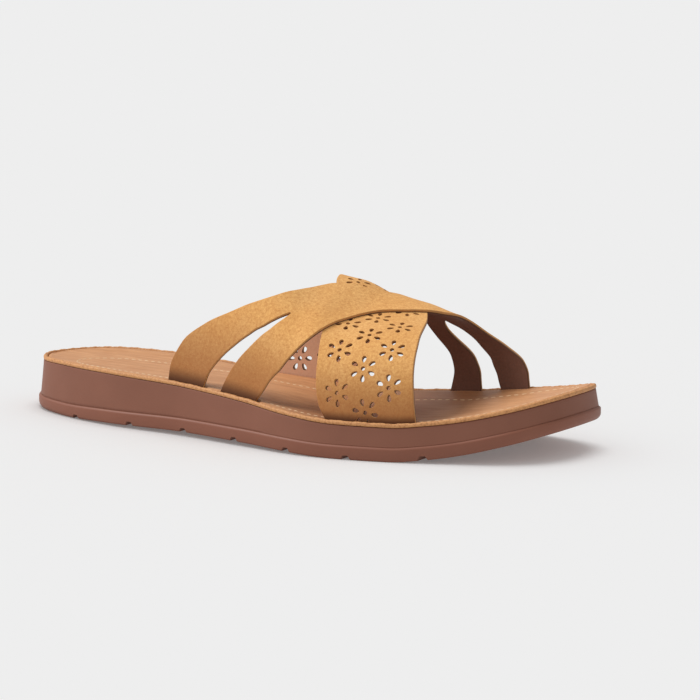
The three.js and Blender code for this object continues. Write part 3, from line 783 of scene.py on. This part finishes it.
coarse = addNode(tree, "ShaderNodeMath", {"operation": "MULTIPLY", 1: 0.55}, {0: speck.outputs["Result"]})
both = addNode(tree, "ShaderNodeMath", {"operation": "MULTIPLY_ADD", 1: 0.42}, {
    0: fine.outputs["Result"], 2: coarse.outputs["Value"]})
tone = addNode(tree, "ShaderNodeMix", {"data_type": "RGBA", 7: linearFromHex(nubuck["deep"])}, {
    0: both.outputs["Value"], 6: base.outputs[2]})
above = addNode(tree, "ShaderNodeAttribute", {"attribute_name": "aboveSole"})
# painted shade: browner towards the sole, where the legs turn down away from the light
near = addNode(tree, "ShaderNodeMapRange", {
    "From Min": nubuck["paintedLowShadeReach"], "From Max": 2, "To Max": 0.8, "interpolation_type": "SMOOTHSTEP"},
    {"Value": above.outputs["Fac"]})
lower = addNode(tree, "ShaderNodeMix", {"data_type": "RGBA", 7: linearFromHex(nubuck["low"])}, {
    0: near.outputs["Result"], 6: tone.outputs[2]})
# painted shade: dark within a few millimetres of the footbed, in the join between the parts
paintedBaseShade = addNode(tree, "ShaderNodeMapRange", {
    "From Min": nubuck["paintedBaseShadeReach"], "From Max": 0.6, "To Max": 0.92,
    "interpolation_type": "SMOOTHSTEP"}, {"Value": above.outputs["Fac"]})
colour = addNode(tree, "ShaderNodeMix", {"data_type": "RGBA", 7: linearFromHex(nubuck["paintedBaseShade"])}, {
    0: paintedBaseShade.outputs["Result"], 6: lower.outputs[2]})
mottleBump = addNode(tree, "ShaderNodeBump", {"Strength": 0.25, "Distance": 0.0003}, {
    "Height": mottle.outputs["Fac"]})
napBump = addNode(tree, "ShaderNodeBump", {"Strength": 0.35, "Distance": 0.0002}, {
    "Height": fibre.outputs["Fac"], "Normal": mottleBump.outputs["Normal"]})
surface = addNode(tree, "ShaderNodeBsdfPrincipled", {
    "Roughness": nubuck["roughness"], "IOR": 1.45, "Specular IOR Level": 0.3, "Sheen Weight": nubuck["sheen"],
    "Sheen Roughness": 0.5, "Sheen Tint": linearFromHex(nubuck["sheenTint"])}, {
    "Base Color": colour.outputs[2], "Normal": napBump.outputs["Normal"]})
closeMaterial(tree, surface.outputs["BSDF"])


# matt linings and edges: one brushed lining in two copies, dark brown on the plain strap as painted shade and
# pale dusky pink on the perforated strap as painted light, the paler knife-cut edge of the microfibre, and a
# dark painted shadow line on the edge's lower half
cloths = {  # dark and pale colour, size of a fleck, strength of the bump
    # painted shade: the plain strap's lining darkened, as its inner faces turn away from the light
    "lining_painted_shade_copy": ("#5e3b2c", "#7c5443", 0.9, 0.2),
    # painted light: the perforated strap's lining paler, where light falls on it through the arch
    "lining_painted_light_copy": ("#d6a080", "#e8bc9c", 0.9, 0.2),
    "cut_microfibre_edge": ("#b27d48", "#d09a5c", 0.7, 0.1),
    # painted shadow: the dark lower half of each cut edge stands for the shadow line under it
    "edge_painted_shadow_line": ("#4c2c1a", "#6c472c", 0.8, 0.1),
}


def speckledCloth(name, dark, pale, size, bumpStrength):
    material, tree, place = newMaterial(name)
    fleck = addNode(tree, "ShaderNodeTexNoise", {
        "Scale": perMetre(size), "Detail": 3, "Roughness": 0.7}, {"Vector": place})
    tone = addNode(tree, "ShaderNodeMix", {
        "data_type": "RGBA", 6: linearFromHex(dark), 7: linearFromHex(pale)}, {0: fleck.outputs["Fac"]})
    bump = addNode(tree, "ShaderNodeBump", {"Strength": bumpStrength, "Distance": 0.0002}, {
        "Height": fleck.outputs["Fac"]})
    surface = addNode(tree, "ShaderNodeBsdfPrincipled", {"Roughness": 0.9, "Sheen Weight": 0.1}, {
        "Base Color": tone.outputs[2], "Normal": bump.outputs["Normal"]})
    closeMaterial(tree, surface.outputs["BSDF"])
    return material


shadedLiningCopy, litLiningCopy, cutEdge, edgeShadowLine = (speckledCloth(name, *look) for name, look in cloths.items())

outerEnd, innerEnd = -straps["tuck"], archLength + straps["tuck"]
outerTip = float(np.interp(outerSlot["around"][-1], turns, arcLength))
innerTip = float(np.interp(innerSlot["around"][0], turns, arcLength))
outerSlotEdges, innerSlotEdges = slotEdges(outerSlot), slotEdges(innerSlot)
plainBorder = join(
    edgeLine(plainEdges, 0, outerEnd, innerEnd),
    edgeLine(innerSlotEdges, 0, innerEnd, innerTip),
    edgeLine(innerSlotEdges, 1, innerTip, innerEnd),
    edgeLine(plainEdges, 1, innerEnd, outerEnd),
    edgeLine(outerSlotEdges, 1, outerEnd, outerTip),
    edgeLine(outerSlotEdges, 0, outerTip, outerEnd),
)
layStrap("plainStrapNubuck", plainBorder, [], crossingLift, [strapFace, shadedLiningCopy, cutEdge, edgeShadowLine])

# Perforated strap: flowers of six drop-shaped holes round a pinhole, in rows of two and one
flowers = {
    "firstRow": 4.5,  # from the outer end of the arch
    "rowPitch": 8.77,
    "besides": 10.8,  # the two of a row, from the strap's middle line
    "rows": 11,  # up to where the strap turns down on the inner side
    "innerSide": [(104, 0), (115.5, 0), (127, 4.5), (136.4, -7.1), (145.2, 3.7)],  # along it, and beside
    "pinhole": 0.9,
    "petals": 6,
    "petalMiddle": 4.05,  # from the flower's middle
    "petalLength": 3.0,
    "petalWidth": 2.0,
}


def flowerHoles(centre, ahead, across):  # plan loops of one flower
    turn = np.arange(10) / 10 * 2 * pi
    outlines = [flowers["pinhole"] * np.stack([np.cos(turn), np.sin(turn)], 1)]
    turn = np.arange(12) / 12 * 2 * pi
    taper = (0.25 + 0.75 * (1 + np.cos(turn)) / 2) ** 0.5 * 1.12  # narrow towards the flower's middle
    x = flowers["petalMiddle"] + flowers["petalLength"] / 2 * np.cos(turn)
    y = flowers["petalWidth"] / 2 * np.sin(turn) * taper
    for k in range(flowers["petals"]):
        a = 2 * pi * k / flowers["petals"]
        outlines.append(np.stack([x * cos(a) - y * sin(a), x * sin(a) + y * cos(a)], 1))
    holes = []
    for shape in outlines:
        move = shape[:, :1] * ahead + shape[:, 1:] * across
        holes.append(planMove(np.repeat(centre[None], len(shape), 0), move))
    return holes


def acrossStrap(centre, ahead):  # unit vector across the strap at a plan point
    u, v = planFrame(centre)
    across = np.cross(np.cross(v, u)[0], ahead)
    return across / np.linalg.norm(across)


def perforations():  # plan loops of all the flowers
    s = np.linspace(0, archLength, 600)
    centreLine = np.stack([s, sum(perforatedEdges(aroundOf(s))) / 2 * sole["length"]], 1)
    space = strapPoint(centreLine, 0)
    walked = lengthAlong(space)
    spots = []  # length along the strap, and how far beside its middle line
    for row in range(flowers["rows"]):
        at = flowers["firstRow"] + flowers["rowPitch"] * row
        spots += [(at, side * flowers["besides"]) for side in ((0,) if row % 2 == 0 else (-1, 1))]
    holes = []
    for at, besides in spots + flowers["innerSide"]:
        centre = np.array([[np.interp(at, walked, centreLine[:, i]) for i in (0, 1)]])
        k = int(np.clip(np.searchsorted(walked, at), 3, len(s) - 4))
        ahead = space[k + 3] - space[k - 3]
        for _ in range(4):  # along the surface to the flower's own middle
            centre = planMove(centre, acrossStrap(centre, ahead)[None] * besides / 4)
        across = acrossStrap(centre, ahead)
        forward = ahead - across * (ahead @ across)
        holes += flowerHoles(centre[0], forward / np.linalg.norm(forward), across)
    return holes


perforatedBorder = join(
    edgeLine(perforatedEdges, 0, outerEnd, innerEnd),
    edgeLine(perforatedEdges, 1, innerEnd, outerEnd),
)
layStrap("perforatedStrapNubuck", perforatedBorder, perforations(), noLift, [
    strapFace, litLiningCopy, cutEdge, edgeShadowLine])

# Insole: padded footbed in smooth faux leather, with one line of stitches round it
insole = {
    "thickness": 3.0,
    "light": "#e2ab78",
    "colour": "#c98a58",
    "deep": "#a96f45",
    "pressed": "#743f20",
    "pressedShare": 0.68,
    "pressedStart": (122, 178),  # lengths from the heel over which the painted shadow of the perforated strap sets in
    "pressedEnd": (186, 230),
    "roughness": 0.55,
    "streak": 2.4,
    "streakStretch": 0.12,  # across over along
    "cloud": 11,
    "pore": 0.7,
    "edge": 1.3,  # how far in the rounding of its edge reaches
    "edgeDrop": 0.9,  # and how far down
    "pocket": 2.4,  # how far the straps push its edge in
    "pocketRoom": (0.4, 1.6),  # before and after a strap, where the push starts and ends
    "fill": 0.9,
}

# pressed faux leather over thin foam: smooth with faint lengthwise streaks and fine pores, and
# browner over the ball, a painted shadow of the perforated strap
footbedSkin, tree, place = newMaterial("faux_leather_footbed")
stretched = addNode(tree, "ShaderNodeMapping", {"Scale": (1, insole["streakStretch"], 1)}, {"Vector": place})
streak = addNode(tree, "ShaderNodeTexNoise", {
    "Scale": perMetre(insole["streak"]), "Detail": 4, "Roughness": 0.6}, {
    "Vector": stretched.outputs["Vector"]})
cloud = addNode(tree, "ShaderNodeTexNoise", {
    "Scale": perMetre(insole["cloud"]), "Detail": 4, "Roughness": 0.6}, {"Vector": place})
pore = addNode(tree, "ShaderNodeTexVoronoi", {
    "Scale": perMetre(insole["pore"]), "Randomness": 1.0}, {"Vector": place})
shade = addNode(tree, "ShaderNodeMapRange", {"From Min": 0.3, "From Max": 0.7}, {
    "Value": streak.outputs["Fac"]})
base = addNode(tree, "ShaderNodeMix", {
    "data_type": "RGBA", 6: linearFromHex(insole["colour"]), 7: linearFromHex(insole["light"])},
    {0: cloud.outputs["Fac"]})
some = addNode(tree, "ShaderNodeMath", {"operation": "MULTIPLY", 1: 0.6}, {0: shade.outputs["Result"]})
tone = addNode(tree, "ShaderNodeMix", {"data_type": "RGBA", 7: linearFromHex(insole["deep"])}, {
    0: some.outputs["Value"], 6: base.outputs[2]})
where = addNode(tree, "ShaderNodeSeparateXYZ", links={"Vector": place})
# painted shadow: the footbed darker and browner in a band round the perforated strap, where its shadow falls
fadeIn, fadeOut = (addNode(tree, "ShaderNodeMapRange", {
    "From Min": (low - sole["middle"][1]) / 1000, "From Max": (high - sole["middle"][1]) / 1000,
    "interpolation_type": "SMOOTHSTEP"}, {"Value": where.outputs["Y"]})
    for low, high in (insole["pressedStart"], insole["pressedEnd"][::-1]))
strapShadowSpan = addNode(tree, "ShaderNodeMath", {"operation": "MULTIPLY"}, {
    0: fadeIn.outputs["Result"], 1: fadeOut.outputs["Result"]})
pressed = addNode(tree, "ShaderNodeMath", {"operation": "MULTIPLY", 1: insole["pressedShare"]}, {
    0: strapShadowSpan.outputs["Value"]})
tone = addNode(tree, "ShaderNodeMix", {"data_type": "RGBA", 7: linearFromHex(insole["pressed"])}, {
    0: pressed.outputs["Value"], 6: tone.outputs[2]})
gloss = addNode(tree, "ShaderNodeMapRange", {
    "To Min": insole["roughness"] - 0.08, "To Max": insole["roughness"] + 0.08}, {
    "Value": streak.outputs["Fac"]})
poreBump = addNode(tree, "ShaderNodeBump", {"Strength": 0.2, "Distance": 0.00015}, {
    "Height": pore.outputs["Distance"]})
bump = addNode(tree, "ShaderNodeBump", {"Strength": 0.15, "Distance": 0.0004}, {
    "Height": streak.outputs["Fac"], "Normal": poreBump.outputs["Normal"]})
surface = addNode(tree, "ShaderNodeBsdfPrincipled", {"IOR": 1.48}, {
    "Base Color": tone.outputs[2], "Roughness": gloss.outputs["Result"], "Normal": bump.outputs["Normal"]})
closeMaterial(tree, surface.outputs["BSDF"])

legs = []  # where straps go down beside the footbed: side, and the rear and front of each leg in at
for side in (0, 1):
    plain, slotAt = plainEdges(side), (innerSlotEdges if side else outerSlotEdges)(side)
    perforated = perforatedEdges(side)
    legs += [(side, plain[0], slotAt[0]), (side, slotAt[1], plain[1]), (side, *perforated)]
pushed = np.zeros(ringCount)
near, far = insole["pocketRoom"]
for side, rear, front in legs:
    behind, before = ring[:, 1] - rear * sole["length"], ring[:, 1] - front * sole["length"]
    within = smoothstep(behind, -far, -near) * (1 - smoothstep(before, near, far))
    pushed += np.where(ringInner == side, within, 0)
edgeIn = -(binding["width"] + midsole["clearance"]) - insole["pocket"] * pushed
foot = trayFloor + midsole["clearance"]
top = foot + insole["thickness"]
inward, downward = insole["edge"], insole["edgeDrop"]
levels = [ringLevel(edgeIn, foot), ringLevel(edgeIn, top - downward)]
for a in np.linspace(0.25, 1, 5) * pi / 2:
    levels.append(ringLevel(edgeIn - inward * (1 - cos(a)), top - downward * (1 - sin(a))))
points, faces = slab(levels, cupDepth, cupDepth)
insolePiece = makePiece("insoleFootbed", points, faces, [footbedSkin], sharpAngle=55)
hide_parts("insole")
print("insole made")

# Stitches: waxed thread in one closed line on the footbed, round its heel and toe
stitches = {
    "colour": "#ecd2aa",
    "shade": "#dcbd92",
    "roughness": 0.6,
    "twist": 0.6,
    "length": 2.3,
    "pitch": 3.2,
    "diameter": 0.55,
    "sunk": 0.12,
    "pocketHeight": 15.0,  # where the line runs over the pocket of a strap
    "sides": 8,
    "shape": [  # share of its length, and thickness there
        (0, 0.35), (0.12, 0.85), (0.35, 1), (0.65, 1), (0.88, 0.85), (1, 0.35)],
    "path": [  # plan points the line follows, heel first, along the inner side to the toe and back
        (7.5, 22.5), (-2, 26), (-7.6, 36), (-8.8, 52), (-8.2, 72), (-7.3, 92), (-4.2, 112), (-3, 130),
        (-6, 152), (-12.5, 176), (-18, 200), (-23.5, 216), (-28.5, 230), (-25, 243), (-12, 249), (4, 247.5),
        (19, 238), (32, 218), (41, 190), (44.5, 162), (43, 145), (38.5, 127), (31, 100), (26, 72),
        (22.5, 48), (18, 31)],
}

# waxed polyester thread: pale, slightly shiny
thread, tree, place = newMaterial("waxed_polyester_thread")
twist = addNode(tree, "ShaderNodeTexNoise", {
    "Scale": perMetre(stitches["twist"]), "Detail": 2}, {"Vector": place})
tone = addNode(tree, "ShaderNodeMix", {
    "data_type": "RGBA", 6: linearFromHex(stitches["shade"]), 7: linearFromHex(stitches["colour"])},
    {0: twist.outputs["Fac"]})
surface = addNode(tree, "ShaderNodeBsdfPrincipled", {"Roughness": stitches["roughness"]}, {
    "Base Color": tone.outputs[2]})
closeMaterial(tree, surface.outputs["BSDF"])

track = np.array(stitches["path"], float)
curvePoints = []
for i in range(len(track)):  # smooth closed curve through the plan points
    p0, p1, p2, p3 = (track[(i + k) % len(track)] for k in (-1, 0, 1, 2))
    for u in np.arange(16) / 16:
        curvePoints.append(0.5 * (2 * p1 + (p2 - p0) * u + (2 * p0 - 5 * p1 + 4 * p2 - p3) * u * u
                                  + (3 * p1 - p0 - 3 * p2 + p3) * u ** 3))
curvePoints = np.array(curvePoints + curvePoints[:1])
walked = lengthAlong(curvePoints)
count = int(walked[-1] / stitches["pitch"])
footbed = BVHTree.FromPolygons([Vector(p) for p in points], [tuple(int(i) for i in face) for face in faces])


def onLine(length):  # x and y of the stitched line at a length along it
    return [np.interp(length % walked[-1], walked, curvePoints[:, i]) for i in (0, 1)]


points, faces = [], []
sides, last = stitches["sides"], len(stitches["shape"]) - 1
for k in range(count):  # each one a short round bar, thinner at both ends
    first = len(points)
    for share, size in stitches["shape"]:
        here = walked[-1] * k / count + stitches["length"] * share
        (x, y), (aheadX, aheadY) = onLine(here), onLine(here + 0.5)
        heading = np.array([aheadX - x, aheadY - y, 0])
        heading /= np.linalg.norm(heading)
        sideways = np.array([heading[1], -heading[0], 0])
        hit = footbed.ray_cast(Vector((x, y, 100)), Vector((0, 0, -1)))[0]
        skin = stitches["pocketHeight"] if hit is None else hit.z
        z = skin - stitches["sunk"] - 0.25 * (1 - size) * stitches["diameter"]
        r = stitches["diameter"] / 2 * size
        points += [(x, y, z) + sideways * r * cos(a) + np.array([0, 0, r * sin(a)])
                   for a in np.arange(sides) / sides * 2 * pi]
    for low in range(first, first + last * sides, sides):
        for i in range(sides):
            j = (i + 1) % sides
            faces.append((low + i, low + j, low + sides + j, low + sides + i))
    faces.append(tuple(first + i for i in range(sides))[::-1])
    faces.append(tuple(first + last * sides + i for i in range(sides)))
stitchPiece = makePiece("footbedStitches", points, faces, [thread], sharpAngle=80)
print("stitches made:", count)
